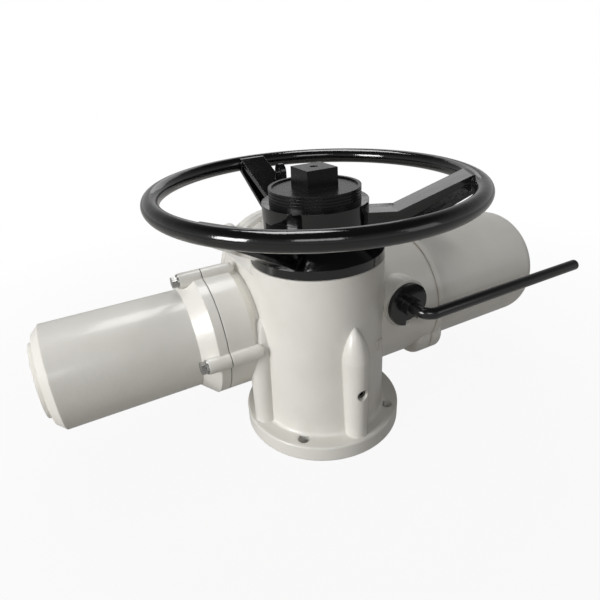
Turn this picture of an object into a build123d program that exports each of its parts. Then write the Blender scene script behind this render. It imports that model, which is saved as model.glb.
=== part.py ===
from build123d import *
import math
import os

os.makedirs("parts", exist_ok=True)

# Multi-turn electric actuator. +Z is up along the valve stem, -X points out of the motor, +X out of the
# terminal housing and -Y towards the hand/auto lever. The origin is the middle of the mounting face.

# Clearances
running_fit = 0.05
press_fit = 0.02
face_gap = 0.3
assembly_gap = 0.1

# Mounting flange and column
flange_radius = 92.5
flange_thickness = 18.0
flange_edge = 2.0
bolt_circle_radius = 80.0
base_bolt_hole_radius = 6.5
register_radius = 62.5
register_depth = 4.0
column_radius = 71.5
column_draft = 2.0
column_foot_fillet = 4.0
cavity_radius = 60.0
cavity_floor = 31.0
pad_turn = -58.0
pad_width = 10.0
pad_length = 12.0
pad_rise = 2.0
pad_below_worm = 6.0

# Pilasters that stiffen the column over the flange, with a pointed round top
pilaster_foot_radius = 12.5
pilaster_shoulder_radius = 15.0
pilaster_reach = 88.5
pilaster_shoulder = 114.0
pilaster_tip = 151.0
grease_hole_height = 75.5
grease_hole_radius = 7.0
grease_hole_seat_radius = 5.2
grease_hole_depth = 4.0
grease_plug_length = 9.0

# Worm gear: the centre distance follows from the pitch radii
gear_module = 2.2
wheel_teeth = 40
worm_pitch_radius = 14.0
worm_turns = 6
worm_thread_width = 2.7
wheel_tooth_width = 2.9
pressure_angle = 20.0
tooth_dedendum = 2.75
worm_height = 118.0
worm_core_length = 52.0
worm_shaft_radius = 10.0
worm_bearing_radius = 23.5
worm_bearing_width = 14.0
worm_bearing_end = 64.0
worm_seal_station = 78.0
worm_seal_width = 7.0
wheel_width = 22.0
wheel_hub_radius = 37.0
wheel_hub_height = 10.0

# Gear chamber behind the column
chamber_wall = 22.5
chamber_below_worm = 72.0
chamber_below_top = 10.5
chamber_corner = 18.0

# Drive sleeve, its bearings and seals
sleeve_radius = 30.0
sleeve_bore_radius = 21.0
sleeve_foot = 6.0
sleeve_collar_radius = 34.0
bearing_outer_radius = 47.5
bearing_width = 18.0
shield_inset = 0.8
retainer_radius = 56.0
retainer_thickness = 6.0
retainer_screw_circle = 51.8
retainer_screw_radius = 2.5
retainer_screw_grip = 8.0
seal_radius = 37.0
bush_bore_radius = 10.0
bush_length = 45.0

# Motor and its cover
motor_seam = 113.0
motor_flange_radius = 70.0
motor_neck_radius = 64.0
motor_neck_shoulder = 84.0
motor_neck_slope = 8.0
motor_ear_circle = 69.0
motor_ear_radius = 8.5
motor_ear_thickness = 24.0
motor_ear_tail = 38.0
motor_ear_turns = (45, 180, 270)
motor_flange_thickness = 10.0
motor_taper_length = 16.0
motor_cover_radius = 55.5
motor_cover_end = 286.0
motor_end_bevel = 8.0
motor_end_disc_radius = 40.0
motor_end_disc_height = 5.0
motor_wall = 5.0
motor_end_wall = 8.0
motor_bore_radius = 58.0
motor_bore_depth = 12.0
stator_outer_radius = 50.4
stator_inner_radius = 28.6
winding_inset = 4.0
winding_length = 12.0
rotor_radius = 28.0
core_length = 80.0
core_before_end = 96.0
end_journal_radius = 7.5
end_bearing_radius = 17.5
end_bearing_width = 11.0
end_bearing_boss = 6.0

# Terminal housing, closed by a cover whose screws stand in three rounded lobes
terminal_offset = 20.0
terminal_height = 121.6
terminal_seam = 128.0
terminal_neck_radius = 75.0
terminal_lip_width = 8.0
terminal_cover_radius = 70.3
terminal_cover_end = 300.0
terminal_end_round = 16.0
terminal_wall = 6.0
terminal_end_wall = 8.0
terminal_lobe_turns = (85, 225, 345)
terminal_lobe_circle = 56.0
terminal_lobe_radius = 28.0
terminal_lobe_round = 9.0
case_lobe_length = 20.0
cover_lobe_length = 17.0
terminal_screw_circle = 74.0
terminal_screw_seat = 7.0
screw_pocket_radius = 7.8
terminal_chamber_radius = 58.0
bulkhead_face = 100.0
cable_entry_turns = (-90, -50)
cable_entry_station = 112.0
cable_entry_radius = 10.0
cable_boss_radius = 14.0
cable_boss_rise = 0.5
terminal_block_width = 84.0
terminal_block_height = 56.0
terminal_block_thickness = 14.0
terminal_pitch = 12.0
terminal_poles = 7
terminal_row_gap = 24.0
terminal_barrier = 8.0

# Control housing at the back
control_offset = 22.0
control_above_worm = 16.0
control_radius = 76.0
control_flange_radius = 82.0
control_over_motor = 22.0
control_flange_thickness = 10.0
control_cover_depth = 34.0
control_edge_bevel = 8.0
control_ear_circle = 86.0
control_ear_radius = 8.5
control_ear_thickness = 16.0
control_ear_tail = 26.0
control_wall = 7.0
control_end_wall = 10.0
control_floor_wall = 10.5
window_radius = 32.0
window_ledge = 4.0
window_thickness = 4.0
window_ring_width = 5.0
window_ring_height = 2.5
switch_foot_width = 92.0
switch_foot_depth = 64.0
switch_foot_thickness = 4.0
switch_pitch = 40.0
switch_row_gap = 30.0
switch_width = 30.0
switch_depth = 22.0
switch_height = 34.0
dial_thickness = 2.0
dial_margin = 8.0

# Hand/auto lever
lever_station = 78.0
lever_above_worm = 30.0
lever_boss_radius = 27.0
lever_boss_face = 56.0
lever_disc_radius = 24.5
lever_disc_thickness = 5.0
lever_hub_radius = 10.5
lever_hub_length = 9.0
lever_rod_radius = 6.4
lever_rod_plane = 90.0
lever_bend_radius = 13.0
lever_tip = 313.0
lever_shaft_radius = 9.0
lever_shaft_inner_end = 36.0
lever_travel = 25.0
stop_screw_radius = 2.2
stop_screw_circle = 21.6
stop_screw_turns = (-90,)
stop_screw_height = 4.4
stop_screw_grip = 8.0
stop_notch_depth = 5.6
clutch_chamber_half_width = 28.0
clutch_chamber_half_height = 24.0
clutch_chamber_inner = 37.0
clutch_chamber_margin = 17.0

# Clutch: its fork reaches into the groove of the ring, which has dogs below and above
clutch_hub_radius = 37.0
clutch_flange_radius = 56.0
clutch_flange_thickness = 2.5
clutch_groove_height = 6.0
clutch_roller_radius = 2.6
clutch_roller_station = 53.0
clutch_travel = 10.7
fork_station = 12.0
fork_width = 12.0
fork_arm = 3.6
fork_hub_radius = 14.0
fork_hub_width = 16.0
dog_count = 4
dog_width = 11.0
dog_depth = 6.0
dog_clearance = 0.6
upper_dog_height = 6.4
lower_dog_height = 8.0
tube_slot_depth = 5.0
dog_gap = 0.4

# Handwheel: heights are measured up from the skirt's lower edge, or from the rim's middle
skirt_gap = 0.8
skirt_relief = 4.0
skirt_radius = 71.1
skirt_height = 9.0
skirt_shell = 4.6
skirt_web = 5.0
barrel_radius = 54.2
barrel_bore_radius = 38.0
barrel_height = 57.7
barrel_shoulder = 11.0
rim_height = 71.2
rim_radius = 158.7
rim_tube_radius = 8.45
spoke_count = 3
first_spoke_angle = -29.0
spoke_width = 31.0
spoke_web = 10.0
spoke_plate = 5.0
spoke_flange = 4.6
spoke_hub_height = 45.7
spoke_elbow_radius = 81.0
spoke_rim_inset = 8.7
spoke_above_rim = 6.5
spoke_below_rim = 13.0
spoke_root_radius = 70.0
spoke_pocket_start = 62.0
window_turns = (176.0, 228.0)
window_depth = 8.0
window_sill = 9.0
window_height = 25.0
lug_station = 99.0
lug_rise = 13.5
lug_radius = 9.0
lug_hole_radius = 5.0
lug_thickness = 6.0
tube_radius = 44.0
tube_bore_radius = 36.0
tube_into_skirt = 13.0
tube_bush_radius = 50.0
tube_bush_length = 32.5
bush_setback = 3.0
sleeve_bush_length = 21.0

# Threaded plug over the stem
plug_radius = 46.5
plug_seat_depth = 13.0
plug_rise = 14.2
plug_rim_width = 3.5
plug_dish_depth = 1.8
plug_square = 34.5
plug_square_height = 19.9
plug_dimple_radius = 4.0
plug_groove_count = 4
plug_groove_pitch = 3.0
plug_groove_width = 1.0
plug_groove_depth = 0.8

# Fasteners and gaskets
gasket_thickness = 0.8
cover_screw_radius = 4.0
cover_screw_head_radius = 6.5
cover_screw_head_height = 6.0
cover_screw_grip = 14.0
washer_margin = 1.2
washer_thickness = 1.2
screw_clearance = 0.4

# Sizes that follow: worm gear
wheel_pitch_radius = gear_module * wheel_teeth / 2
wheel_outer_radius = wheel_pitch_radius + gear_module
wheel_root_radius = wheel_pitch_radius - tooth_dedendum
worm_outer_radius = worm_pitch_radius + gear_module
worm_root_radius = worm_pitch_radius - tooth_dedendum
worm_lead = math.pi * gear_module
worm_offset = wheel_pitch_radius + worm_pitch_radius
wheel_bottom = worm_height - wheel_width / 2
wheel_top = worm_height + wheel_width / 2 + wheel_hub_height

# Sizes that follow: heights from the lever up through the clutch to the handwheel
lever_height = worm_height + lever_above_worm
groove_bottom = lever_height - clutch_groove_height / 2
clutch_top = groove_bottom + clutch_groove_height + clutch_flange_thickness
tube_bottom = clutch_top + upper_dog_height + clutch_travel + dog_gap
bush_bottom = tube_bottom + bush_setback
column_top = bush_bottom + tube_bush_length
skirt_bottom = column_top + skirt_gap
skirt_top = skirt_bottom + skirt_height
tube_top = skirt_bottom + tube_into_skirt
sleeve_bush_bottom = tube_bottom + tube_slot_depth + 1
sleeve_top = sleeve_bush_bottom + sleeve_bush_length + 2
barrel_top = skirt_bottom + barrel_height
hub_plate = skirt_bottom + spoke_hub_height
rim_plane = skirt_bottom + rim_height
spoke_rim_station = rim_radius - spoke_rim_inset
plug_seat = barrel_top - plug_seat_depth
plug_top = barrel_top + plug_rise

# Sizes that follow: the housings
core_middle = motor_cover_end - core_before_end
control_height = worm_height + control_above_worm
control_seam = worm_offset + motor_flange_radius + control_over_motor
control_floor = worm_offset + worm_bearing_radius + control_floor_wall
chamber_back = worm_offset + worm_bearing_radius + chamber_wall
chamber_bottom = worm_height - chamber_below_worm
tapped_radius = cover_screw_radius + assembly_gap
clearance_radius = cover_screw_radius + screw_clearance
lever_bore_radius = lever_shaft_radius + running_fit


def cylinder_on(plane, radius, length, mode=Mode.ADD):
    with BuildSketch(plane) as outline:
        Circle(radius)
    extrude(outline.sketch, amount=length, mode=mode)


def ring_on(plane, outer, inner, length, mode=Mode.ADD):
    with BuildSketch(plane) as outline:
        Circle(outer)
        Circle(inner, mode=Mode.SUBTRACT)
    extrude(outline.sketch, amount=length, mode=mode)


def discs_on(plane, circle, radius, turns, length, mode=Mode.ADD):
    with BuildSketch(plane) as outline:
        for turn in turns:
            with PolarLocations(circle, 1, start_angle=turn):
                Circle(radius)
    extrude(outline.sketch, amount=length, mode=mode)


def blocks_on(plane, inner, outer, width, count, length, mode=Mode.ADD):
    with BuildSketch(plane) as outline:
        with PolarLocations((inner + outer) / 2, count):
            Rectangle(outer - inner, width)
    extrude(outline.sketch, amount=length, mode=mode)


def revolved(plane, axis, points, mode=Mode.ADD):
    with BuildSketch(plane) as section:
        with BuildLine():
            Polyline(*points, close=True)
        make_face()
    revolve(section.sketch, axis=axis, mode=mode)


def even_turns(count, start):
    return [start + index * 360 / count for index in range(count)]


def level(height):
    return Plane.XY.offset(height)


def motor_plane(station, outward=True):
    direction = (-1, 0, 0) if outward else (1, 0, 0)
    return Plane(origin=(-station, worm_offset, worm_height), x_dir=(0, 1, 0), z_dir=direction)


def terminal_plane(station, outward=True):
    direction = (1, 0, 0) if outward else (-1, 0, 0)
    return Plane(origin=(station, terminal_offset, terminal_height), x_dir=(0, 1, 0), z_dir=direction)


def lobe_plane(station, turn, outward=True):
    angle = math.radians(turn)
    across = Vector(0, math.cos(angle), math.sin(angle))
    direction = (1, 0, 0) if outward else (-1, 0, 0)
    return Plane(origin=Vector(station, terminal_offset, terminal_height), x_dir=across, z_dir=direction)


def control_plane(station, outward=True):
    direction = (0, 1, 0) if outward else (0, -1, 0)
    return Plane(origin=(control_offset, station, control_height), x_dir=(1, 0, 0), z_dir=direction)


def lever_plane(station, outward=True):
    direction = (0, -1, 0) if outward else (0, 1, 0)
    return Plane(origin=(lever_station, -station, lever_height), x_dir=(1, 0, 0), z_dir=direction)


def entry_plane(turn, reach):
    angle = math.radians(turn)
    across = Vector(0, math.cos(angle), math.sin(angle))
    centre = Vector(cable_entry_station, terminal_offset, terminal_height)
    return Plane(origin=centre + across * reach, x_dir=(1, 0, 0), z_dir=across)


def radial_plane(turn):
    angle = math.radians(turn)
    return Plane(
        origin=(0, 0, 0), x_dir=(math.cos(angle), math.sin(angle), 0),
        z_dir=(math.sin(angle), -math.cos(angle), 0)
    )


def finish(piece, name):
    piece.part.label = name
    export_step(piece.part, "parts/" + name + ".step")


def shielded_bearing(plane, bore, outer, width, name):
    with BuildPart() as bearing:
        ring_on(plane, outer, bore + running_fit, width)
        race = (outer - bore) / 4
        for face in (plane, plane.offset(width - shield_inset)):
            ring_on(face, outer - race, bore + race, shield_inset, Mode.SUBTRACT)
    finish(bearing, name)


def cover_screws(plane, circle, turns, grip, name):
    shank = grip + cover_screw_grip
    with BuildPart() as screws:
        discs_on(plane.offset(-shank), circle, cover_screw_radius, turns, shank)
        discs_on(plane, circle, cover_screw_head_radius + washer_margin, turns, washer_thickness)
        with BuildSketch(plane.offset(washer_thickness)) as heads:
            for turn in turns:
                with PolarLocations(circle, 1, start_angle=turn):
                    RegularPolygon(cover_screw_head_radius, 6)
        extrude(heads.sketch, amount=cover_screw_head_height)
    finish(screws, name)


motor_axis = Axis((0, worm_offset, worm_height), (-1, 0, 0))
motor_section = Plane(origin=(0, worm_offset, worm_height), x_dir=(-1, 0, 0), z_dir=(0, 1, 0))
terminal_axis = Axis((0, terminal_offset, terminal_height), (1, 0, 0))
terminal_section = Plane(origin=(0, terminal_offset, terminal_height), x_dir=(1, 0, 0), z_dir=(0, -1, 0))
control_axis = Axis((control_offset, 0, control_height), (0, 1, 0))
control_section = Plane(origin=(control_offset, 0, control_height), x_dir=(0, 1, 0), z_dir=(1, 0, 0))
control_turns = even_turns(4, 45)
retainer_turns = even_turns(6, 30)

# One stiffening pilaster: it widens up to its shoulder and closes in a pointed top against the column
pilaster_foot = flange_thickness - 1
pilaster_centre = pilaster_reach - pilaster_shoulder_radius
with BuildPart() as pilaster:
    for height, radius in (
        (pilaster_foot, pilaster_foot_radius), (pilaster_shoulder, pilaster_shoulder_radius)
    ):
        with BuildSketch(level(height)):
            with Locations((pilaster_reach - radius, 0)):
                Circle(radius)
    loft()
    top_rise = pilaster_tip - pilaster_shoulder
    with BuildSketch(level(pilaster_shoulder)) as shoulder:
        with Locations((pilaster_centre, 0)):
            Circle(pilaster_shoulder_radius)
    with BuildSketch(level(pilaster_shoulder + 0.45 * top_rise)) as waist:
        with Locations((pilaster_centre - 1, 0)):
            Circle(0.8 * pilaster_shoulder_radius)
    with BuildSketch(level(pilaster_shoulder + 0.8 * top_rise)) as neck:
        with Locations((pilaster_centre - 2, 0)):
            Circle(0.42 * pilaster_shoulder_radius)
    with BuildSketch(level(pilaster_tip)) as point:
        with Locations((column_radius - 1, 0)):
            Circle(1)
    loft([shoulder.sketch, waist.sketch, neck.sketch, point.sketch])

# Rounded back end of a screw lobe on the terminal neck, and the lobe on its cover
with BuildPart() as case_lobe:
    with BuildSketch():
        with Locations((terminal_lobe_circle, 0)):
            Circle(terminal_lobe_radius)
    extrude(amount=case_lobe_length)
    fillet(case_lobe.edges().sort_by(Axis.Z)[-1], radius=terminal_lobe_round)

with BuildPart() as cover_lobe:
    with BuildSketch():
        with Locations((terminal_lobe_circle, 0)):
            Circle(terminal_lobe_radius)
    extrude(amount=cover_lobe_length)
    fillet(cover_lobe.edges().sort_by(Axis.Z)[-1], radius=terminal_lobe_round / 3)

# Rounded tail of a screw ear on the motor neck
with BuildPart() as ear_tail:
    with BuildSketch():
        with Locations((motor_ear_circle, 0)):
            Circle(motor_ear_radius)
    extrude(amount=motor_ear_tail)
    fillet(ear_tail.edges().sort_by(Axis.Z)[-1], radius=motor_ear_radius - 1)

# Gear case: flange, column, gear chamber and the three housing necks in one casting
with BuildPart() as gear_case:
    with BuildSketch(Plane.XZ) as outline:
        with BuildLine():
            Polyline(
                (0, 0),
                (flange_radius, 0),
                (flange_radius, flange_thickness),
                (column_radius + column_draft, flange_thickness),
                (column_radius, column_top),
                (0, column_top),
                close=True,
            )
        make_face()
        rim_corner = outline.vertices().sort_by_distance((flange_radius, flange_thickness))[0]
        fillet(rim_corner, radius=flange_edge)
        foot_corner = outline.vertices().sort_by_distance((column_radius + column_draft, flange_thickness))[0]
        fillet(foot_corner, radius=column_foot_fillet)
    revolve(outline.sketch, axis=Axis.Z)
    with PolarLocations(0, 4):
        add(pilaster.part)
    with BuildSketch(level(chamber_bottom)) as chamber:
        with Locations((0, chamber_back / 2)):
            Rectangle(2 * column_radius, chamber_back)
    extrude(chamber.sketch, amount=column_top - chamber_below_top - chamber_bottom)
    upright_edges = gear_case.edges().filter_by(Axis.Z)
    back_edges = upright_edges.filter_by(lambda edge: edge.center().Y > chamber_back - 1)
    fillet(back_edges, radius=chamber_corner)
    revolved(
        motor_section,
        motor_axis,
        [
            (sleeve_radius, 0),
            (sleeve_radius, motor_neck_radius),
            (motor_neck_shoulder - motor_neck_slope, motor_neck_radius),
            (motor_neck_shoulder, motor_flange_radius),
            (motor_seam, motor_flange_radius),
            (motor_seam, 0),
        ],
    )
    with Locations(motor_plane(motor_seam, False)):
        for turn in motor_ear_turns:
            with PolarLocations(0, 1, start_angle=-turn):
                add(ear_tail.part)
    cylinder_on(terminal_plane(0), terminal_neck_radius, terminal_seam)
    for turn in terminal_lobe_turns:
        with Locations(lobe_plane(terminal_seam, turn, False)):
            add(case_lobe.part)
    cylinder_on(control_plane(sleeve_radius), control_radius, control_seam - sleeve_radius)
    cylinder_on(control_plane(control_seam, False), control_flange_radius, control_flange_thickness)
    discs_on(
        control_plane(control_seam - control_ear_tail), control_ear_circle, control_ear_radius, control_turns,
        control_ear_tail
    )
    boss_reach = terminal_neck_radius + cable_boss_rise
    for turn in cable_entry_turns:
        cylinder_on(
            entry_plane(turn, terminal_chamber_radius), cable_boss_radius,
            boss_reach - terminal_chamber_radius
        )
    cylinder_on(lever_plane(0), lever_boss_radius, lever_boss_face)
    pad_plane = Plane(
        origin=(0, 0, worm_height - pad_below_worm),
        x_dir=(-math.sin(math.radians(pad_turn)), math.cos(math.radians(pad_turn)), 0),
        z_dir=(math.cos(math.radians(pad_turn)), math.sin(math.radians(pad_turn)), 0),
    )
    with BuildSketch(pad_plane.offset(cavity_radius + 5)) as pad:
        RectangleRounded(pad_width, pad_length, 1)
    extrude(pad.sketch, amount=column_radius + column_draft / 2 + pad_rise - cavity_radius - 5)
    cylinder_on(level(column_top), skirt_radius + skirt_relief, rim_height, Mode.SUBTRACT)

    # Bores along the column
    cylinder_on(level(0), register_radius, register_depth, Mode.SUBTRACT)
    cylinder_on(level(0), retainer_radius + assembly_gap, register_depth + retainer_thickness, Mode.SUBTRACT)
    cylinder_on(level(0), bearing_outer_radius, cavity_floor, Mode.SUBTRACT)
    cavity_top = clutch_top + clutch_travel + bush_setback
    cylinder_on(level(cavity_floor), cavity_radius, cavity_top - cavity_floor, Mode.SUBTRACT)
    cylinder_on(level(cavity_floor), tube_bush_radius, column_top - cavity_floor, Mode.SUBTRACT)

    # Worm bore, open to the motor and blind at its far end
    cylinder_on(motor_plane(motor_seam, False), motor_bore_radius, motor_bore_depth, Mode.SUBTRACT)
    cylinder_on(
        motor_plane(motor_seam, False), worm_bearing_radius, motor_seam + worm_bearing_end, Mode.SUBTRACT
    )

    # Terminal and control chambers
    cylinder_on(
        terminal_plane(bulkhead_face), terminal_chamber_radius, terminal_seam - bulkhead_face, Mode.SUBTRACT
    )
    control_bore = control_radius - control_wall
    cylinder_on(control_plane(control_floor), control_bore, control_seam - control_floor, Mode.SUBTRACT)

    # Cable entries into the terminal chamber
    entry_start = terminal_chamber_radius - cable_entry_radius / 2
    for turn in cable_entry_turns:
        cylinder_on(
            entry_plane(turn, entry_start), cable_entry_radius, boss_reach - entry_start + 1, Mode.SUBTRACT
        )

    # Grease hole in the front pilaster, with a cone down to the seat of its plug
    grease_plane = Plane(origin=(0, -pilaster_reach, grease_hole_height), x_dir=(1, 0, 0), z_dir=(0, 1, 0))
    with BuildSketch(grease_plane.offset(-1)) as mouth:
        Circle(grease_hole_radius)
    with BuildSketch(grease_plane.offset(grease_hole_depth)) as seat:
        Circle(grease_hole_seat_radius)
    loft([mouth.sketch, seat.sketch], mode=Mode.SUBTRACT)
    grease_seat = grease_plane.offset(grease_hole_depth)
    cylinder_on(grease_seat, grease_hole_seat_radius, grease_plug_length + 2, Mode.SUBTRACT)

    # Clutch chamber and the bore of the lever shaft
    clutch_chamber_end = lever_station + clutch_chamber_margin
    with BuildSketch(level(lever_height - clutch_chamber_half_height)) as clutch_chamber:
        with Locations(((clutch_chamber_inner + clutch_chamber_end) / 2, 0)):
            Rectangle(clutch_chamber_end - clutch_chamber_inner, 2 * clutch_chamber_half_width)
    extrude(clutch_chamber.sketch, amount=2 * clutch_chamber_half_height, mode=Mode.SUBTRACT)
    shaft_bore = lever_boss_face + lever_shaft_inner_end + 1
    cylinder_on(lever_plane(lever_boss_face, False), lever_bore_radius, shaft_bore, Mode.SUBTRACT)
    stop_plane = lever_plane(lever_boss_face - stop_screw_grip)
    discs_on(stop_plane, stop_screw_circle, stop_screw_radius, stop_screw_turns, stop_screw_grip, Mode.SUBTRACT)

    # Bolt holes of the foot and tapped holes of the retainer and the covers
    retainer_plane = level(register_depth)
    tapped_depth = retainer_thickness + retainer_screw_grip + 1
    retainer_hole = retainer_screw_radius + assembly_gap
    discs_on(
        retainer_plane, retainer_screw_circle, retainer_hole, retainer_turns, tapped_depth, Mode.SUBTRACT
    )
    bolt_turns = even_turns(4, 45)
    discs_on(level(0), bolt_circle_radius, base_bolt_hole_radius, bolt_turns, flange_thickness, Mode.SUBTRACT)
    cover_depth = cover_screw_grip + 1
    motor_holes = motor_plane(motor_seam - cover_depth)
    discs_on(motor_holes, motor_ear_circle, tapped_radius, motor_ear_turns, cover_depth, Mode.SUBTRACT)
    terminal_holes = terminal_plane(terminal_seam - cover_depth)
    discs_on(
        terminal_holes, terminal_screw_circle, tapped_radius, terminal_lobe_turns, cover_depth, Mode.SUBTRACT
    )
    control_holes = control_plane(control_seam - cover_depth)
    discs_on(control_holes, control_ear_circle, tapped_radius, control_turns, cover_depth, Mode.SUBTRACT)
finish(gear_case, "gear_case")

with BuildPart() as grease_plug:
    cylinder_on(grease_seat, grease_hole_seat_radius - assembly_gap, grease_plug_length)
    with BuildSketch(grease_seat) as socket:
        RegularPolygon(grease_hole_seat_radius / 2, 6)
    extrude(socket.sketch, amount=grease_plug_length / 3, mode=Mode.SUBTRACT)
finish(grease_plug, "grease_plug")

# Motor cover: a cast can with a tapered root, screw ears and a raised end disc
cover_root = motor_seam + gasket_thickness
cover_rim = cover_root + motor_flange_thickness
cover_neck = cover_rim + motor_taper_length
end_boss_face = motor_cover_end - motor_end_wall
motor_ear_face = motor_plane(cover_root + motor_ear_thickness)
with BuildPart() as motor_cover:
    revolved(
        motor_section,
        motor_axis,
        [
            (cover_root, 0),
            (cover_root, motor_flange_radius),
            (cover_rim, motor_flange_radius),
            (cover_neck, motor_cover_radius),
            (motor_cover_end - motor_end_bevel, motor_cover_radius),
            (motor_cover_end, motor_cover_radius - motor_end_bevel),
            (motor_cover_end, motor_end_disc_radius),
            (motor_cover_end + motor_end_disc_height, motor_end_disc_radius - 1),
            (motor_cover_end + motor_end_disc_height, 0),
        ],
    )
    discs_on(
        motor_plane(cover_root), motor_ear_circle, motor_ear_radius, motor_ear_turns, motor_ear_thickness
    )
    can_bore = motor_cover_radius - motor_wall
    cylinder_on(motor_plane(cover_root), can_bore, end_boss_face - cover_root, Mode.SUBTRACT)
    boss_depth = end_bearing_width + 2
    ring_on(
        motor_plane(end_boss_face - boss_depth), end_bearing_radius + end_bearing_boss, end_bearing_radius,
        boss_depth + 1
    )
    discs_on(
        motor_plane(cover_root), motor_ear_circle, clearance_radius, motor_ear_turns, motor_ear_thickness,
        Mode.SUBTRACT
    )
    seats = cover_screw_head_radius + 2 * washer_margin
    discs_on(motor_ear_face, motor_ear_circle, seats, motor_ear_turns, motor_cover_radius, Mode.SUBTRACT)
finish(motor_cover, "motor_cover")

with BuildPart() as motor_gasket:
    ring_on(motor_plane(motor_seam), motor_flange_radius - 1, motor_bore_radius + 2, gasket_thickness)
    discs_on(
        motor_plane(motor_seam), motor_ear_circle, motor_ear_radius - 1, motor_ear_turns, gasket_thickness
    )
    discs_on(
        motor_plane(motor_seam), motor_ear_circle, clearance_radius, motor_ear_turns, gasket_thickness,
        Mode.SUBTRACT
    )
finish(motor_gasket, "motor_gasket")

cover_screws(motor_ear_face, motor_ear_circle, motor_ear_turns, motor_ear_thickness, "motor_screws")

# Motor: stator pack, its end windings and the rotor on the worm shaft
core_start = core_middle - core_length / 2
with BuildPart() as stator:
    ring_on(motor_plane(core_start), stator_outer_radius, stator_inner_radius, core_length)
finish(stator, "motor_stator")

with BuildPart() as windings:
    for start in (core_start - winding_length, core_start + core_length):
        ring_on(
            motor_plane(start), stator_outer_radius - winding_inset, stator_inner_radius + winding_inset,
            winding_length
        )
finish(windings, "motor_windings")

with BuildPart() as rotor:
    ring_on(motor_plane(core_start), rotor_radius, worm_shaft_radius + press_fit, core_length)
finish(rotor, "motor_rotor")

# Worm: a single right-hand thread with straight flanks, swept along its helix
flank = math.tan(math.radians(pressure_angle))
thread_length = worm_turns * worm_lead
thread_root = worm_root_radius - 0.5
thread_tip_half = worm_thread_width / 2 - gear_module * flank
thread_root_half = worm_thread_width / 2 + (worm_pitch_radius - thread_root) * flank
with BuildPart() as worm_thread:
    with BuildLine() as worm_helix:
        Helix(
            pitch=worm_lead, height=thread_length, radius=worm_pitch_radius, center=(0, 0, -thread_length / 2)
        )
    start_plane = Plane(origin=(0, 0, -thread_length / 2), x_dir=(1, 0, 0), z_dir=(0, -1, 0))
    with BuildSketch(start_plane):
        with BuildLine():
            Polyline(
                (thread_root, -thread_root_half),
                (worm_outer_radius, -thread_tip_half),
                (worm_outer_radius, thread_tip_half),
                (thread_root, thread_root_half),
                close=True,
            )
        make_face()
    sweep(path=worm_helix.line, is_frenet=True)

end_bearing_face = end_boss_face - end_bearing_width
with BuildPart() as worm_shaft:
    inner_end = -worm_bearing_end + 1
    cylinder_on(motor_plane(inner_end), worm_shaft_radius, end_bearing_face - 1 - inner_end)
    cylinder_on(motor_plane(end_bearing_face - 1), end_journal_radius, end_bearing_width)
    cylinder_on(motor_plane(-worm_core_length / 2), worm_root_radius, worm_core_length)
    with Locations(motor_plane(0, False)):
        add(worm_thread.part)
finish(worm_shaft, "worm_shaft")

shielded_bearing(
    motor_plane(end_bearing_face), end_journal_radius, end_bearing_radius, end_bearing_width,
    "motor_end_bearing"
)
inner_face = worm_bearing_end - worm_bearing_width
shielded_bearing(
    motor_plane(inner_face), worm_shaft_radius, worm_bearing_radius, worm_bearing_width,
    "worm_bearing_motor_side"
)
shielded_bearing(
    motor_plane(-worm_bearing_end), worm_shaft_radius, worm_bearing_radius, worm_bearing_width,
    "worm_bearing_far_side"
)

with BuildPart() as worm_seal:
    ring_on(
        motor_plane(worm_seal_station), worm_bearing_radius - running_fit, worm_shaft_radius + running_fit,
        worm_seal_width
    )
finish(worm_seal, "worm_seal")

# Drive sleeve with the worm wheel, the removable stem bush, its bearing and the lower retainer
bearing_bottom = register_depth + retainer_thickness
collar_bottom = bearing_bottom + bearing_width + face_gap
with BuildPart() as drive_sleeve:
    cylinder_on(level(sleeve_foot), sleeve_radius, sleeve_top - sleeve_foot)
    cylinder_on(level(collar_bottom), sleeve_collar_radius, wheel_bottom - collar_bottom)
    cylinder_on(level(sleeve_foot), sleeve_bore_radius, sleeve_top, Mode.SUBTRACT)
finish(drive_sleeve, "drive_sleeve")

# One tooth of the worm wheel, turned along its width by the lead angle of the worm
tooth_root = wheel_root_radius - 0.5
tooth_tip_half = wheel_tooth_width / 2 - gear_module * flank
tooth_root_half = wheel_tooth_width / 2 + (wheel_pitch_radius - tooth_root) * flank
lead_slope = worm_lead / (2 * math.pi * worm_pitch_radius)
tooth_turn = math.degrees(lead_slope * wheel_width / wheel_pitch_radius)
with BuildPart() as wheel_tooth:
    for height, turn in ((0, -tooth_turn / 2), (wheel_width, tooth_turn / 2)):
        with BuildSketch(level(wheel_bottom + height).rotated((0, 0, turn))):
            with BuildLine():
                Polyline(
                    (tooth_root, -tooth_root_half),
                    (wheel_outer_radius, -tooth_tip_half),
                    (wheel_outer_radius, tooth_tip_half),
                    (tooth_root, tooth_root_half),
                    close=True,
                )
            make_face()
    loft(ruled=True)

with BuildPart() as worm_wheel:
    ring_on(level(wheel_bottom), wheel_root_radius, sleeve_radius, wheel_width)
    ring_on(level(wheel_bottom + wheel_width), wheel_hub_radius, sleeve_radius, wheel_hub_height)
    with PolarLocations(0, wheel_teeth):
        add(wheel_tooth.part)
    slot_bottom = wheel_top - lower_dog_height - 1
    blocks_on(
        level(slot_bottom), sleeve_radius - 1, wheel_hub_radius + 2, dog_width + 2 * dog_clearance, dog_count,
        lower_dog_height + 1, Mode.SUBTRACT
    )
finish(worm_wheel, "worm_wheel")

with BuildPart() as stem_bush:
    ring_on(level(sleeve_foot), sleeve_bore_radius, bush_bore_radius, bush_length)
finish(stem_bush, "stem_bush")

shielded_bearing(level(bearing_bottom), sleeve_radius, bearing_outer_radius, bearing_width, "drive_bearing")

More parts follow.
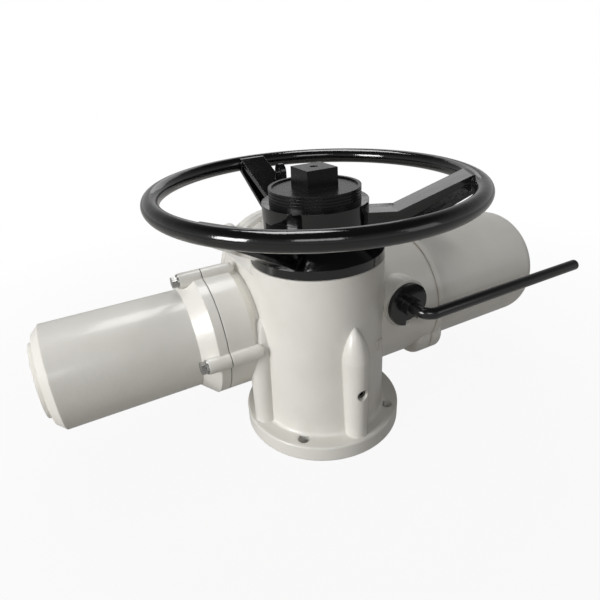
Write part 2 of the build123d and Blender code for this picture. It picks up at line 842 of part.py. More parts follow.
with BuildPart() as bearing_retainer:
    ring_on(retainer_plane, retainer_radius, seal_radius, retainer_thickness)
    discs_on(
        retainer_plane, retainer_screw_circle, retainer_hole, retainer_turns, retainer_thickness,
        Mode.SUBTRACT
    )
finish(bearing_retainer, "bearing_retainer")

with BuildPart() as lower_seal:
    ring_on(
        level(register_depth + face_gap), seal_radius, sleeve_radius + running_fit,
        retainer_thickness - 2 * face_gap
    )
finish(lower_seal, "lower_seal")

with BuildPart() as retainer_screws:
    shank = retainer_thickness + retainer_screw_grip
    discs_on(
        level(register_depth + face_gap), retainer_screw_circle, retainer_screw_radius, retainer_turns, shank
    )
finish(retainer_screws, "retainer_screws")

# Clutch ring that the lever lifts from the worm wheel to the handwheel
clutch_bore = sleeve_radius + running_fit
with BuildPart() as clutch_ring:
    clutch_bottom = wheel_top + face_gap
    ring_on(level(clutch_bottom), clutch_hub_radius, clutch_bore, clutch_top - clutch_bottom)
    for bottom in (groove_bottom - clutch_flange_thickness, groove_bottom + clutch_groove_height):
        ring_on(level(bottom), clutch_flange_radius, clutch_bore, clutch_flange_thickness)
    lower_inner = sleeve_radius + dog_clearance
    blocks_on(
        level(wheel_top - lower_dog_height), lower_inner, lower_inner + dog_depth, dog_width, dog_count,
        lower_dog_height + face_gap
    )
    upper_inner = tube_bore_radius + dog_clearance
    blocks_on(level(clutch_top), upper_inner, upper_inner + dog_depth, dog_width, dog_count, upper_dog_height)
finish(clutch_ring, "clutch_ring")

# Terminal cover: a large domed drum with a lip that carries the screw lobes
terminal_root = terminal_seam + gasket_thickness
terminal_lip = terminal_root + terminal_lip_width
dome_start = terminal_cover_end - terminal_end_round
dome_edge = terminal_cover_radius - terminal_end_round
with BuildPart() as terminal_cover:
    with BuildSketch(terminal_section) as section:
        with BuildLine():
            Polyline(
                (terminal_cover_end, 0),
                (terminal_root, 0),
                (terminal_root, terminal_neck_radius),
                (terminal_lip, terminal_neck_radius),
                (terminal_lip + 2, terminal_cover_radius),
                (dome_start, terminal_cover_radius),
            )
            RadiusArc(
                (dome_start, terminal_cover_radius), (terminal_cover_end, dome_edge), terminal_end_round
            )
            Line((terminal_cover_end, dome_edge), (terminal_cover_end, 0))
        make_face()
    revolve(section.sketch, axis=terminal_axis)
    for turn in terminal_lobe_turns:
        with Locations(lobe_plane(terminal_root, turn)):
            add(cover_lobe.part)
    cover_bore = terminal_cover_radius - terminal_wall
    chamber_length = terminal_cover_end - terminal_end_wall - terminal_root
    cylinder_on(terminal_plane(terminal_root), cover_bore, chamber_length, Mode.SUBTRACT)
    screw_seat = terminal_plane(terminal_root + terminal_screw_seat)
    discs_on(
        terminal_plane(terminal_root), terminal_screw_circle, clearance_radius, terminal_lobe_turns,
        terminal_screw_seat, Mode.SUBTRACT
    )
    discs_on(
        screw_seat, terminal_screw_circle, screw_pocket_radius, terminal_lobe_turns, cover_lobe_length,
        Mode.SUBTRACT
    )
finish(terminal_cover, "terminal_cover")

with BuildPart() as terminal_gasket:
    with BuildSketch(terminal_plane(terminal_seam)) as sheet:
        Circle(terminal_neck_radius - 1)
        for turn in terminal_lobe_turns:
            with PolarLocations(terminal_lobe_circle, 1, start_angle=turn):
                Circle(terminal_lobe_radius - 1)
        Circle(cover_bore, mode=Mode.SUBTRACT)
        for turn in terminal_lobe_turns:
            with PolarLocations(terminal_screw_circle, 1, start_angle=turn):
                Circle(clearance_radius, mode=Mode.SUBTRACT)
    extrude(sheet.sketch, amount=gasket_thickness)
finish(terminal_gasket, "terminal_gasket")

cover_screws(screw_seat, terminal_screw_circle, terminal_lobe_turns, terminal_screw_seat, "terminal_screws")

# Terminal block with its studs, fixed to the bulkhead
block_face = terminal_plane(bulkhead_face + terminal_block_thickness)
with BuildPart() as terminal_block:
    with BuildSketch(terminal_plane(bulkhead_face)) as block:
        RectangleRounded(terminal_block_width, terminal_block_height, 5)
    extrude(block.sketch, amount=terminal_block_thickness)
    with BuildSketch(block_face) as barriers:
        with GridLocations(terminal_pitch, 1, terminal_poles + 1, 1):
            Rectangle(1.6, terminal_block_height - 4)
    extrude(barriers.sketch, amount=terminal_barrier)
finish(terminal_block, "terminal_block")

with BuildPart() as terminal_studs:
    with BuildSketch(block_face) as nuts:
        with GridLocations(terminal_pitch, terminal_row_gap, terminal_poles, 2):
            RegularPolygon(0.36 * terminal_pitch, 6)
    extrude(nuts.sketch, amount=3)
    with BuildSketch(block_face) as studs:
        with GridLocations(terminal_pitch, terminal_row_gap, terminal_poles, 2):
            Circle(2)
    extrude(studs.sketch, amount=terminal_barrier + 2)
finish(terminal_studs, "terminal_studs")

# Control cover at the back with its sight window
control_root = control_seam + gasket_thickness
control_rim = control_root + control_flange_thickness
control_end = control_root + control_cover_depth
window_floor = control_end - window_thickness - window_ring_height + 0.5
control_ear_face = control_plane(control_root + control_ear_thickness)
with BuildPart() as control_cover:
    revolved(
        control_section,
        control_axis,
        [
            (control_root, 0),
            (control_root, control_flange_radius),
            (control_rim, control_flange_radius),
            (control_rim + 6, control_radius),
            (control_end - control_edge_bevel, control_radius),
            (control_end, control_radius - control_edge_bevel),
            (control_end, 0),
        ],
    )
    ears = control_plane(control_root)
    discs_on(ears, control_ear_circle, control_ear_radius, control_turns, control_ear_thickness)
    cylinder_on(ears, control_bore, control_cover_depth - control_end_wall, Mode.SUBTRACT)
    cylinder_on(ears, window_radius - window_ledge, control_cover_depth, Mode.SUBTRACT)
    glass_bore = window_radius + assembly_gap
    cylinder_on(control_plane(window_floor), glass_bore, control_end - window_floor, Mode.SUBTRACT)
    discs_on(
        ears, control_ear_circle, clearance_radius, control_turns, control_ear_thickness, Mode.SUBTRACT
    )
finish(control_cover, "control_cover")

with BuildPart() as control_gasket:
    ring_on(control_plane(control_seam), control_flange_radius - 1, control_bore + 2, gasket_thickness)
    discs_on(
        control_plane(control_seam), control_ear_circle, control_ear_radius - 1, control_turns,
        gasket_thickness
    )
    discs_on(
        control_plane(control_seam), control_ear_circle, clearance_radius, control_turns, gasket_thickness,
        Mode.SUBTRACT
    )
finish(control_gasket, "control_gasket")

cover_screws(control_ear_face, control_ear_circle, control_turns, control_ear_thickness, "control_screws")

with BuildPart() as sight_glass:
    cylinder_on(control_plane(window_floor), window_radius, window_thickness)
finish(sight_glass, "sight_glass")

with BuildPart() as window_ring:
    ring_on(
        control_plane(window_floor + window_thickness), window_radius, window_radius - window_ring_width,
        window_ring_height
    )
finish(window_ring, "window_ring")

# Switch unit on the floor of the control chamber, with its dial under the window
with BuildPart() as switch_unit:
    with BuildSketch(control_plane(control_floor)) as foot:
        RectangleRounded(switch_foot_width, switch_foot_depth, 6)
    extrude(foot.sketch, amount=switch_foot_thickness)
    with BuildSketch(control_plane(control_floor + switch_foot_thickness)) as switches:
        with GridLocations(switch_pitch, switch_row_gap, 2, 2):
            Rectangle(switch_width, switch_depth)
    extrude(switches.sketch, amount=switch_height)
finish(switch_unit, "switch_unit")

with BuildPart() as dial_plate:
    dial_plane = control_plane(control_floor + switch_foot_thickness + switch_height)
    cylinder_on(dial_plane, window_radius + dial_margin, dial_thickness)
finish(dial_plate, "dial_plate")

# Hand/auto lever: flanged shaft, cranked rod and the fork that lifts the clutch ring
disc_back = lever_boss_face + face_gap
disc_face = disc_back + lever_disc_thickness
hub_face = disc_face + lever_hub_length
rod_start = hub_face - lever_hub_length
rod_socket = lever_rod_radius + assembly_gap
stop_margin = math.degrees(math.asin((stop_screw_radius + 0.5) / stop_screw_circle))
with BuildPart() as lever_shaft:
    cylinder_on(lever_plane(disc_back), lever_disc_radius, lever_disc_thickness)
    cylinder_on(lever_plane(disc_back), lever_hub_radius, disc_face - disc_back + lever_hub_length)
    cylinder_on(lever_plane(disc_back, False), lever_shaft_radius, disc_back + lever_shaft_inner_end)
    cylinder_on(lever_plane(rod_start), rod_socket, lever_hub_length, Mode.SUBTRACT)

    # Notch in the disc's lower edge, as long as the travel of the lever
    with BuildSketch(lever_plane(disc_back)) as notch:
        with BuildLine():
            notch_inner = lever_disc_radius - stop_notch_depth
            notch_start = -90 - stop_margin
            notch_sweep = lever_travel + 2 * stop_margin
            inner_arc = CenterArc((0, 0), notch_inner, notch_start, notch_sweep)
            outer_arc = CenterArc((0, 0), lever_disc_radius + 1, notch_start, notch_sweep)
            Line(inner_arc @ 0, outer_arc @ 0)
            Line(inner_arc @ 1, outer_arc @ 1)
        make_face()
    extrude(notch.sketch, amount=lever_disc_thickness, mode=Mode.SUBTRACT)
finish(lever_shaft, "lever_shaft")

with BuildPart() as lever_stop_screw:
    stop_length = stop_screw_grip - 0.5 + stop_screw_height
    discs_on(
        lever_plane(lever_boss_face - stop_screw_grip + 0.5), stop_screw_circle, stop_screw_radius, stop_screw_turns,
        stop_length
    )
finish(lever_stop_screw, "lever_stop_screw")

with BuildPart() as lever_rod:
    with BuildLine() as rod_path:
        FilletPolyline(
            (lever_station, -rod_start, lever_height),
            (lever_station, -lever_rod_plane, lever_height),
            (lever_tip, -lever_rod_plane, lever_height),
            radius=lever_bend_radius,
        )
    with BuildSketch(lever_plane(rod_start)):
        Circle(lever_rod_radius)
    sweep(path=rod_path.line)
finish(lever_rod, "lever_rod")

arm_length = lever_station - fork_station - clutch_roller_station
with BuildPart() as clutch_fork:
    ring_on(
        lever_plane(fork_hub_width / 2, False), fork_hub_radius, lever_shaft_radius + press_fit,
        fork_hub_width
    )
    with BuildSketch(lever_plane(fork_width / 2, False)) as arm:
        with Locations((-fork_station - arm_length / 2, 0)):
            Rectangle(arm_length, fork_arm)
        with Locations((clutch_roller_station - lever_station, 0)):
            Circle(clutch_roller_radius)
    extrude(arm.sketch, amount=fork_width)
finish(clutch_fork, "clutch_fork")

# One spoke: an I beam between a top plate and a lower flange, with a rounded end to its side pockets
rise = (rim_plane + spoke_above_rim - hub_plate) / (spoke_rim_station - spoke_elbow_radius)
lower_root = skirt_top + 1.5
lower_end = rim_plane - spoke_below_rim
lower_rise = (lower_end - lower_root) / (spoke_rim_station - spoke_root_radius)
pocket_width = (spoke_width - spoke_web) / 2
spoke_inner = (barrel_bore_radius + barrel_radius) / 2
with BuildPart() as spoke:
    with BuildSketch(Plane.XZ) as side:
        with BuildLine():
            Polyline(
                (rim_radius, rim_plane + spoke_above_rim + 1),
                (spoke_rim_station, rim_plane + spoke_above_rim),
                (spoke_elbow_radius, hub_plate),
                (spoke_inner, hub_plate),
                (spoke_inner, skirt_top),
                (spoke_root_radius - 1, skirt_top),
                (spoke_root_radius, lower_root),
                (spoke_rim_station, lower_end),
                (rim_radius, rim_plane - rim_tube_radius + 0.5),
                close=True,
            )
        make_face()
    extrude(side.sketch, amount=spoke_width / 2, both=True)
    pocket_start_low = lower_root + spoke_flange
    for facing in (Plane.XZ.offset(spoke_web / 2), Plane.XZ.offset(-spoke_width / 2)):
        with BuildSketch(facing) as pocket:
            with BuildLine():
                Polyline(
                    (spoke_pocket_start, hub_plate - spoke_plate),
                    (spoke_elbow_radius + 1, hub_plate - spoke_plate),
                    (spoke_rim_station, rim_plane + spoke_above_rim - spoke_plate - 1),
                    (spoke_rim_station, lower_end + spoke_flange),
                    (spoke_root_radius, pocket_start_low),
                    (spoke_pocket_start, pocket_start_low),
                    close=True,
                )
            make_face()
            fillet(pocket.vertices().group_by(Axis.X)[-1], radius=3.5)
        extrude(pocket.sketch, amount=pocket_width, mode=Mode.SUBTRACT)

# Handwheel: skirt, barrel, three spokes and a round rim, cast in one
plug_bore = plug_radius + assembly_gap
skirt_inner = skirt_radius - skirt_shell
with BuildPart() as handwheel:
    revolved(
        Plane.XZ,
        Axis.Z,
        [
            (skirt_inner, skirt_bottom),
            (skirt_radius, skirt_bottom),
            (skirt_radius, skirt_top),
            (barrel_radius + barrel_shoulder / 2, skirt_top + 0.6 * barrel_shoulder),
            (barrel_radius, skirt_top + barrel_shoulder),
            (barrel_radius, barrel_top),
            (barrel_bore_radius, barrel_top),
            (barrel_bore_radius, tube_top + 6),
            (tube_bore_radius, tube_top + 4),
            (tube_bore_radius, tube_top),
            (tube_radius, tube_top),
            (tube_radius, skirt_bottom + skirt_web),
            (skirt_inner, skirt_bottom + skirt_web),
        ],
    )
    with PolarLocations(0, spoke_count, start_angle=first_spoke_angle):
        add(spoke.part)
    with BuildSketch(Plane.XZ) as rim:
        with Locations((rim_radius, rim_plane)):
            Circle(rim_tube_radius)
    revolve(rim.sketch, axis=Axis.Z)

    # Padlock lug beside the top plate of one spoke
    lug_plane = radial_plane(first_spoke_angle + 360 / spoke_count).offset(spoke_width / 2 - lug_thickness)
    lug_foot = hub_plate + rise * (lug_station - spoke_elbow_radius)
    with BuildSketch(lug_plane) as lug:
        with BuildLine():
            Polyline(
                (lug_station - lug_radius, lug_foot - rise * lug_radius - 1),
                (lug_station + lug_radius, lug_foot + rise * lug_radius - 1),
                (lug_station + lug_radius, lug_foot + lug_rise),
                (lug_station - lug_radius, lug_foot + lug_rise),
                close=True,
            )
        make_face()
        with Locations((lug_station, lug_foot + lug_rise)):
            Circle(lug_radius)
            Circle(lug_hole_radius, mode=Mode.SUBTRACT)
    extrude(lug.sketch, amount=lug_thickness)

    # Seat of the plug, bore over the tube and a shallow window in the barrel
    cylinder_on(level(plug_seat), plug_bore, 2 * plug_seat_depth + 10, Mode.SUBTRACT)
    cylinder_on(level(tube_top + 6), barrel_bore_radius, plug_seat - tube_top - 6, Mode.SUBTRACT)
    window_start, window_end = window_turns
    with BuildSketch(level(skirt_top + window_sill)) as window:
        with BuildLine():
            back_arc = CenterArc(
                (0, 0), barrel_radius - window_depth, window_start, window_end - window_start
            )
            front_arc = CenterArc((0, 0), skirt_radius, window_start, window_end - window_start)
            Line(back_arc @ 0, front_arc @ 0)
            Line(back_arc @ 1, front_arc @ 1)
        make_face()
    extrude(window.sketch, amount=window_height, mode=Mode.SUBTRACT)
finish(handwheel, "handwheel")

# Steel tube pressed into the handwheel, which runs in the column bush; its slots face the clutch dogs
with BuildPart() as handwheel_tube:
    ring_on(level(tube_bottom), tube_radius, tube_bore_radius, tube_top - tube_bottom)
    blocks_on(
        level(tube_bottom), tube_bore_radius - 1, tube_radius + 2, dog_width + 2 * dog_clearance, dog_count,
        tube_slot_depth, Mode.SUBTRACT
    )
finish(handwheel_tube, "handwheel_tube")

with BuildPart() as stem_plug:
    plug_bottom = plug_seat + face_gap
    cylinder_on(level(plug_bottom), plug_radius, plug_top - plug_bottom)
    dish_floor = plug_top - plug_dish_depth
    cylinder_on(level(dish_floor), plug_radius - plug_rim_width, plug_dish_depth, Mode.SUBTRACT)
    for index in range(plug_groove_count):
        groove = plug_top - (index + 1) * plug_groove_pitch
        ring_on(
            level(groove), plug_radius + 1, plug_radius - plug_groove_depth, plug_groove_width, Mode.SUBTRACT
        )
    with BuildSketch(level(dish_floor)) as head:
        Rectangle(plug_square, plug_square)
    extrude(head.sketch, amount=plug_square_height, taper=1)
    cylinder_on(level(dish_floor + plug_square_height - 1), plug_dimple_radius, 1, Mode.SUBTRACT)
finish(stem_plug, "stem_plug")

with BuildPart() as tube_bush:
    ring_on(level(bush_bottom), tube_bush_radius, tube_radius + running_fit, tube_bush_length)
finish(tube_bush, "tube_bush")

with BuildPart() as sleeve_bush:
    ring_on(level(sleeve_bush_bottom), tube_bore_radius, sleeve_radius + running_fit, sleeve_bush_length)
finish(sleeve_bush, "sleeve_bush")
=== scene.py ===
import math

import bmesh
import bpy
from mathutils import Matrix, Vector


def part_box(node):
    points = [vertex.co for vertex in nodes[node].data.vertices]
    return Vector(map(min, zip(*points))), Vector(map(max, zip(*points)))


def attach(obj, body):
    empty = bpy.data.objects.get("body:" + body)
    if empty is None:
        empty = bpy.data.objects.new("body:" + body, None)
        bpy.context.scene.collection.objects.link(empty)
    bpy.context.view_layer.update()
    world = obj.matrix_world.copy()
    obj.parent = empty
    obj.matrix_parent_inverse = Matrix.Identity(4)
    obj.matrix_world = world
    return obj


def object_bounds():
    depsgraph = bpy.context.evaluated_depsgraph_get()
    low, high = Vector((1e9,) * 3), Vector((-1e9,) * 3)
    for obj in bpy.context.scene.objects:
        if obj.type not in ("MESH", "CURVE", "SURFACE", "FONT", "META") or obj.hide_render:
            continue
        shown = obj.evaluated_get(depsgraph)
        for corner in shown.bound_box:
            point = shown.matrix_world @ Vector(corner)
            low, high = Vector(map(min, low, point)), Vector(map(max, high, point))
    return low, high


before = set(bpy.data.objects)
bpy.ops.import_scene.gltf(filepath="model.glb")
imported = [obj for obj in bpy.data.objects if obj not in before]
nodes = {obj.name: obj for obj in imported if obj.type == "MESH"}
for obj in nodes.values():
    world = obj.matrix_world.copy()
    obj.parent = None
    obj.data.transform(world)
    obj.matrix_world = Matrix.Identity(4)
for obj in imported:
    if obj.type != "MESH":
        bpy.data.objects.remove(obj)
cad_box = [list(corner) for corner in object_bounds()]

# The camera stands at the photograph's viewpoint, in front of the lever side and a little to the motor's
# left, above the height of the handwheel. Its view is rolled slightly, as the photograph's is.
camera_place = Vector((-0.2262, -0.4039, 0.3908))
camera_aim = Vector((-0.0232, 0.0, 0.1569))
camera_roll = math.radians(-3.23)
camera_data = bpy.data.cameras.new("camera")
camera_data.sensor_width = 36.0
camera_data.lens = 27.9
camera = bpy.data.objects.new("camera", camera_data)
bpy.context.scene.collection.objects.link(camera)
facing = (camera_aim - camera_place).to_track_quat("-Z", "Y").to_matrix().to_4x4()
camera.matrix_world = Matrix.Translation(camera_place) @ facing @ Matrix.Rotation(camera_roll, 4, "Z")
bpy.context.scene.camera = camera
bpy.context.scene.view_settings.view_transform = "Standard"


# The castings are aluminium, sprayed with a gloss off-white enamel that pulls back a little from the edges.
# The spray leaves a fine orange peel over the faint unevenness of the sand-cast skin beneath it, and a little
# brown grease has crept out of the joint of the terminal housing.
class Wire:
    """A shader socket that can be used in sums."""

    def __init__(self, shading, socket):
        self.shading = shading
        self.socket = socket

    def __add__(self, other):
        return self.shading.maths("ADD", self, other)

    def __sub__(self, other):
        return self.shading.maths("SUBTRACT", self, other)

    def __mul__(self, other):
        return self.shading.maths("MULTIPLY", self, other)

    def __radd__(self, other):
        return self.shading.maths("ADD", other, self)

    def __rsub__(self, other):
        return self.shading.maths("SUBTRACT", other, self)

    def __rmul__(self, other):
        return self.shading.maths("MULTIPLY", other, self)


class Shading:
    """A node tree, whose nodes are added by name."""

    def __init__(self, owner):
        owner.use_nodes = True
        self.tree = owner.node_tree

    def node(self, kind, settings, output=0, **inputs):
        made = self.tree.nodes.new(kind)
        for name, value in settings.items():
            setattr(made, name, value)
        for name, value in inputs.items():
            self.join(made.inputs[name.replace("_", " ")], value)
        return Wire(self, made.outputs[output])

    def join(self, socket, value):
        if isinstance(value, Wire):
            self.tree.links.new(value.socket, socket)
        else:
            socket.default_value = value

    def maths(self, operation, first, second):
        made = self.tree.nodes.new("ShaderNodeMath")
        made.operation = operation
        self.join(made.inputs[0], first)
        self.join(made.inputs[1], second)
        return Wire(self, made.outputs[0])

    def place(self):
        return self.node("ShaderNodeTexCoord", {}, "Object")

    def noise(self, scale, detail=2.0, roughness=0.5):
        return self.node("ShaderNodeTexNoise", {}, "Fac", Vector=self.place(), Scale=scale, Detail=detail,
                         Roughness=roughness)

    def blend(self, mask, first, second):
        mixed = self.tree.nodes.new("ShaderNodeMix")
        mixed.data_type = "RGBA"
        self.join(mixed.inputs[0], mask)
        self.join(mixed.inputs[6], first)
        self.join(mixed.inputs[7], second)
        return Wire(self, mixed.outputs[2])


class Finish(Shading):
    """One material on a Principled shader."""

    def __init__(self, name, colour, roughness, **constants):
        self.material = bpy.data.materials.new(name)
        super().__init__(self.material)
        self.shader = self.tree.nodes["Principled BSDF"]
        self.set("Base Color", (*colour, 1.0))
        self.set("Roughness", roughness)
        for socket, value in constants.items():
            self.set(socket.replace("_", " "), value)

    def set(self, socket, value):
        self.join(self.shader.inputs[socket], value)

    def relief(self, height, depth, edge):
        rounded = self.node("ShaderNodeBevel", {"samples": 4}, Radius=edge)
        bumped = self.node("ShaderNodeBump", {}, Height=height, Distance=depth, Strength=1.0, Normal=rounded)
        self.set("Normal", bumped)

    def give(self, *pieces):
        for piece in pieces:
            piece.data.materials.clear()
            piece.data.materials.append(self.material)


casting_white = (0.765, 0.748, 0.70)
casting_shade = (0.66, 0.637, 0.585)
cloud_scale = 18.0
skin_scale = 90.0
peel_scale = 420.0
peel_share = 0.35
skin_depth = 0.00022
casting_edge = 0.0018
casting_paint = Finish("casting_paint", casting_white, 0.3, Coat_Weight=0.25, Coat_Roughness=0.08)
cloud = casting_paint.noise(cloud_scale, 3.0)
clouded = casting_paint.blend((cloud - 0.45) * 1.6, (*casting_white, 1), (*casting_shade, 1))
joint_low, joint_high = (Vector(corner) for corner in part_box("terminal_gasket"))
joint_x = (joint_low.x + joint_high.x) / 2
creep = 0.0035
grease_brown = (0.40, 0.32, 0.23)
grease_scale = 45.0
grease_strength = 0.8
along = casting_paint.node("ShaderNodeSeparateXYZ", {}, "X", Vector=casting_paint.place())
near_joint = 1.0 - casting_paint.maths("ABSOLUTE", along - joint_x, 0.0) * (1 / creep)
grease = casting_paint.maths("MAXIMUM", near_joint, 0.0) * casting_paint.noise(grease_scale, 3.0)
stained = casting_paint.blend(grease * grease_strength, clouded, (*grease_brown, 1))
casting_paint.set("Base Color", stained)
casting_paint.set("Roughness", 0.27 + cloud * 0.12)
peel = casting_paint.noise(peel_scale, 2.0)
skin = casting_paint.noise(skin_scale, 2.0)
casting_paint.relief(peel * peel_share + skin, skin_depth, casting_edge)
casting_paint.give(nodes["gear_case"], nodes["motor_cover"], nodes["terminal_cover"], nodes["control_cover"])

# The handwheel is a gravity casting in iron, ground where it was gated and dipped in gloss black enamel.
wheel_black = (0.004, 0.004, 0.0045)
swell_scale = 70.0
dull_scale = 30.0
grain_scale = 600.0
swell_depth = 0.0003
wheel_edge = 0.0011
wheel_paint = Finish("wheel_paint", wheel_black, 0.13, Coat_Weight=0.3, Coat_Roughness=0.05)
wheel_swell = wheel_paint.noise(swell_scale, 2.0)
wheel_paint.set("Roughness", 0.06 + wheel_paint.noise(dull_scale, 3.0) * 0.09)
wheel_paint.relief(wheel_swell + wheel_paint.noise(grain_scale) * 0.15, swell_depth, wheel_edge)
wheel_paint.give(nodes["handwheel"])

# The cap in the middle of the wheel is turned and milled steel with a thin satin black coating.
plug_black = (0.006, 0.006, 0.0065)
plug_grain_scale = 1100.0
plug_grain_depth = 0.00006
plug_edge = 0.0007
plug_finish = Finish("plug_finish", plug_black, 0.3, Specular_IOR_Level=0.3)
plug_finish.set("Roughness", 0.20 + plug_finish.noise(240.0, 4.0) * 0.16)
plug_finish.relief(plug_finish.noise(plug_grain_scale), plug_grain_depth, plug_edge)
plug_finish.give(nodes["stem_plug"])

# The lever is bent from round bar and painted satin black along with the disc that it is pinned to.
lever_black = (0.007, 0.007, 0.0075)
lever_grain_scale = 300.0
lever_grain_depth = 0.00010
lever_edge = 0.0008
lever_paint = Finish("lever_paint", lever_black, 0.3, Coat_Weight=0.15, Coat_Roughness=0.06)
lever_paint.set("Roughness", 0.13 + lever_paint.noise(60.0, 3.0) * 0.12)
lever_paint.relief(lever_paint.noise(lever_grain_scale), lever_grain_depth, lever_edge)
lever_paint.give(nodes["lever_shaft"], nodes["lever_rod"])


# Screws, washers, shafts and bearings are bare steel, with the fine streaks that turning and rolling leave.
# The bushes and the worm wheel are bronze, the studs brass and the windings copper.
def bare_metal(name, colour, roughness, grain):
    metal = Finish(name, colour, roughness, Metallic=1.0)
    metal.set("Roughness", roughness - 0.06 + metal.noise(grain, 3.0) * 0.12)
    metal.relief(metal.noise(grain * 3), 0.00003, 0.0004)
    return metal


bare_metal("stainless", (0.40, 0.40, 0.39), 0.28, 500.0).give(
    nodes["motor_screws"], nodes["terminal_screws"], nodes["control_screws"], nodes["retainer_screws"],
    nodes["window_ring"], nodes["lever_stop_screw"])
# The grease plug's steel is painted near black, as painted shade for the dark hole that it sits in.
bare_metal("hole_shade_steel", (0.10, 0.098, 0.092), 0.30, 500.0).give(nodes["grease_plug"])
bare_metal("steel", (0.42, 0.42, 0.43), 0.34, 380.0).give(*[nodes[name] for name in (
    "worm_shaft", "motor_rotor", "motor_stator", "drive_sleeve", "clutch_ring", "clutch_fork", "drive_bearing",
    "bearing_retainer", "handwheel_tube", "motor_end_bearing", "worm_bearing_motor_side",
    "worm_bearing_far_side")])
bare_metal("bronze", (0.55, 0.36, 0.17), 0.32, 420.0).give(
    nodes["worm_wheel"], nodes["stem_bush"], nodes["tube_bush"], nodes["sleeve_bush"])
bare_metal("brass", (0.72, 0.56, 0.26), 0.28, 420.0).give(nodes["terminal_studs"])
bare_metal("copper", (0.55, 0.25, 0.12), 0.36, 260.0).give(nodes["motor_windings"])

# Gaskets and seals are black nitrile, matt and very slightly dusty.
rubber = Finish("rubber", (0.022, 0.022, 0.022), 0.7)
rubber.relief(rubber.noise(900.0), 0.00004, 0.0003)
rubber.give(*[nodes[name] for name in (
    "motor_gasket", "terminal_gasket", "control_gasket", "worm_seal", "lower_seal")])

# The switches and the terminal block are black phenolic mouldings.
moulding = Finish("block_plastic", (0.03, 0.03, 0.032), 0.45)
moulding.relief(moulding.noise(700.0), 0.00005, 0.0004)
moulding.give(nodes["switch_unit"], nodes["terminal_block"])

# The sight glass is a clear disc, with a matt white dial a little way behind it.
glass = Finish("glass", (0.95, 0.98, 0.98), 0.03, Transmission_Weight=1.0, IOR=1.5)
glass.give(nodes["sight_glass"])
dial = Finish("dial", (0.82, 0.82, 0.79), 0.6)
dial.relief(dial.noise(900.0), 0.00003, 0.0003)
dial.give(nodes["dial_plate"])

# The dial has a ring of fine marks that rides on it, and a red pointer that stands a little above its face.
dial_low, dial_high = (Vector(corner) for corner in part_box("dial_plate"))
dial_middle = (dial_low + dial_high) / 2
dial_face = dial_high.y
mark_count = 40
mark_circle = 0.0225
mark_lift = 0.0002
mark_half_width = 0.00035
mark_thickness = 0.0001
long_mark = 0.0042
short_mark = 0.0024
long_mark_every = 5
pointer_reach = 0.019
pointer_width = 0.0045
pointer_tail = 0.004
pointer_shoulder = 0.7
pointer_thickness = 0.0006
mark_ink = Finish("mark_ink", (0.02, 0.02, 0.02), 0.6)
pointer_red = Finish("pointer_red", (0.45, 0.03, 0.02), 0.45)


def dial_piece(name, finish, outlines, thickness):
    mesh = bpy.data.meshes.new(name)
    shape = bmesh.new()
    for outline in outlines:
        corners = [shape.verts.new((x, dial_face + mark_lift, z)) for x, z in outline]
        face = shape.faces.new(corners)
        grown = bmesh.ops.extrude_face_region(shape, geom=[face])
        raised = [item for item in grown["geom"] if isinstance(item, bmesh.types.BMVert)]
        bmesh.ops.translate(shape, verts=raised, vec=(0, thickness, 0))
    bmesh.ops.recalc_face_normals(shape, faces=shape.faces)
    shape.to_mesh(mesh)
    shape.free()
    piece = bpy.data.objects.new(name, mesh)
    bpy.context.scene.collection.objects.link(piece)
    finish.give(piece)
    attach(piece, "root")
    return piece


def mark_outline(index):
    turn = 2 * math.pi * index / mark_count
    length = long_mark if index % long_mark_every == 0 else short_mark
    along = Vector((math.cos(turn), math.sin(turn)))
    across = Vector((-along.y, along.x)) * mark_half_width
    middle = Vector((dial_middle.x, dial_middle.z))
    inner = middle + along * (mark_circle - length)
    outer = middle + along * mark_circle
    return [inner - across, outer - across, outer + across, inner + across]


dial_piece("dial_marks", mark_ink, [mark_outline(index) for index in range(mark_count)], mark_thickness)
pointer_foot = Vector((dial_middle.x, dial_middle.z))
pointer_outline = [pointer_foot + Vector(corner) for corner in (
    (-pointer_width / 2, -pointer_tail), (pointer_width / 2, -pointer_tail),
    (pointer_width / 3, pointer_reach * pointer_shoulder), (0, pointer_reach),
    (-pointer_width / 3, pointer_reach * pointer_shoulder))]
dial_piece("dial_pointer", pointer_red, [pointer_outline], pointer_thickness)

# The floor is a plain pale sweep under the object. The camera sees it as white, also through glass, gloss
# paint mirrors a dimmer white, and it takes a soft shadow.
floor_gap = 0.0005
floor_radius = 30.0
floor_level = cad_box[0][2] - floor_gap
mirrored_share = 0.3
near_white = 0.93
paper_grey = (0.26, 0.243, 0.22)
fade_start = 0.25
fade_end = 0.9
floor_mesh = bpy.data.meshes.new("floor")
shape = bmesh.new()
bmesh.ops.create_circle(shape, cap_ends=True, segments=96, radius=floor_radius)
bmesh.ops.translate(shape, verts=shape.verts, vec=(0, 0, floor_level))
shape.to_mesh(floor_mesh)
shape.free()
floor = bpy.data.objects.new("floor", floor_mesh)
bpy.context.scene.collection.objects.link(floor)
floor_material = bpy.data.materials.new("floor")
sweep = Shading(floor_material)
sweep.tree.nodes.remove(sweep.tree.nodes["Principled BSDF"])
paper = sweep.node("ShaderNodeBsdfDiffuse", {}, Color=(*paper_grey, 1))
glow = sweep.node("ShaderNodeEmission", {}, Color=(1, 1, 1, 1), Strength=1.0)
direct = sweep.node("ShaderNodeLightPath", {}, "Is Camera Ray")
distance = sweep.node("ShaderNodeVectorMath", {"operation": "LENGTH"}, "Value", Vector=sweep.place())
fade = sweep.node("ShaderNodeMapRange", {}, "Result", Value=distance, From_Min=fade_start, From_Max=fade_end,
                  To_Min=near_white, To_Max=1.0)
floor_rays = direct.socket.node.outputs
through_glass = Wire(sweep, floor_rays["Is Transmission Ray"])
in_gloss = Wire(sweep, floor_rays["Is Glossy Ray"])
shown = direct + through_glass + in_gloss * mirrored_share
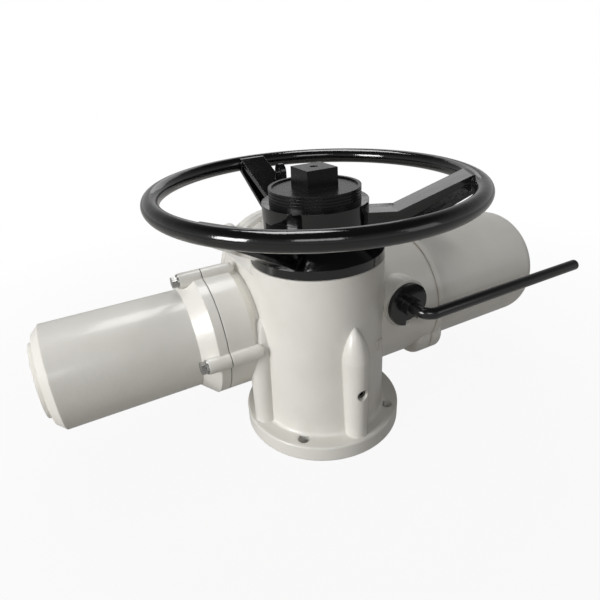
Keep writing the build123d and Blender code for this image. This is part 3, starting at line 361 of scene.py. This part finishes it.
surface = sweep.node("ShaderNodeMixShader", {}, Fac=shown * fade)
sweep.join(surface.socket.node.inputs[1], paper)
sweep.join(surface.socket.node.inputs[2], glow)
sweep.join(sweep.tree.nodes["Material Output"].inputs["Surface"], surface)
floor_mesh.materials.append(floor_material)

# The room is white where the camera sees it. Gloss paint mirrors a pale wall at the height of the object and
# a dark ceiling, so that it stays deep and only its flanks pick up light.
ambient = 0.11
wall = 0.55
ceiling = 0.035
ceiling_height = 0.75
bpy.context.scene.world = bpy.data.worlds.new("room")
room = Shading(bpy.context.scene.world)
rays = room.node("ShaderNodeLightPath", {}, "Is Camera Ray")
ray_kinds = rays.socket.node.outputs
seen = rays + Wire(room, ray_kinds["Is Transmission Ray"])
mirrored = Wire(room, ray_kinds["Is Glossy Ray"])
direction = room.node("ShaderNodeTexCoord", {}, "Generated")
upward = room.node("ShaderNodeSeparateXYZ", {}, "Z", Vector=direction)
reflected = room.node("ShaderNodeMapRange", {}, "Result", Value=upward, From_Min=0.0, From_Max=ceiling_height,
                      To_Min=wall, To_Max=ceiling)
air = room.tree.nodes["Background"]
air.inputs["Color"].default_value = (1, 1, 1, 1)
room.join(air.inputs["Strength"], ambient + seen * (1.0 - ambient) + mirrored * (reflected - ambient))


# Five large soft lamps light it: a key low on the motor's side, which catches the faces that look along the
# motor, a weaker one in front, a faint one on the lever side, a top light, and one behind that the flat tops
# mirror.
lamp_aim = Vector((0, 0, 0.12))


def soft_lamp(name, place, power, width, height):
    lamp = bpy.data.lights.new(name, "AREA")
    lamp.shape = "RECTANGLE"
    lamp.size = width
    lamp.size_y = height
    lamp.energy = power
    holder = bpy.data.objects.new(name, lamp)
    bpy.context.scene.collection.objects.link(holder)
    aim = (lamp_aim - Vector(place)).to_track_quat("-Z", "Y").to_matrix().to_4x4()
    holder.matrix_world = Matrix.Translation(place) @ aim


soft_lamp("key_lamp", (-1.9, -0.35, 0.75), 31.0, 0.7, 0.7)
soft_lamp("front_lamp", (-0.8, -1.5, 1.2), 6.0, 0.9, 0.5)
soft_lamp("lever_side_lamp", (1.1, -1.6, 0.9), 2.0, 0.8, 0.8)
soft_lamp("top_lamp", (0.1, 0.6, 1.8), 12.0, 0.7, 0.7)
soft_lamp("back_lamp", (0.75, 1.6, 1.15), 2.4, 1.2, 0.8)
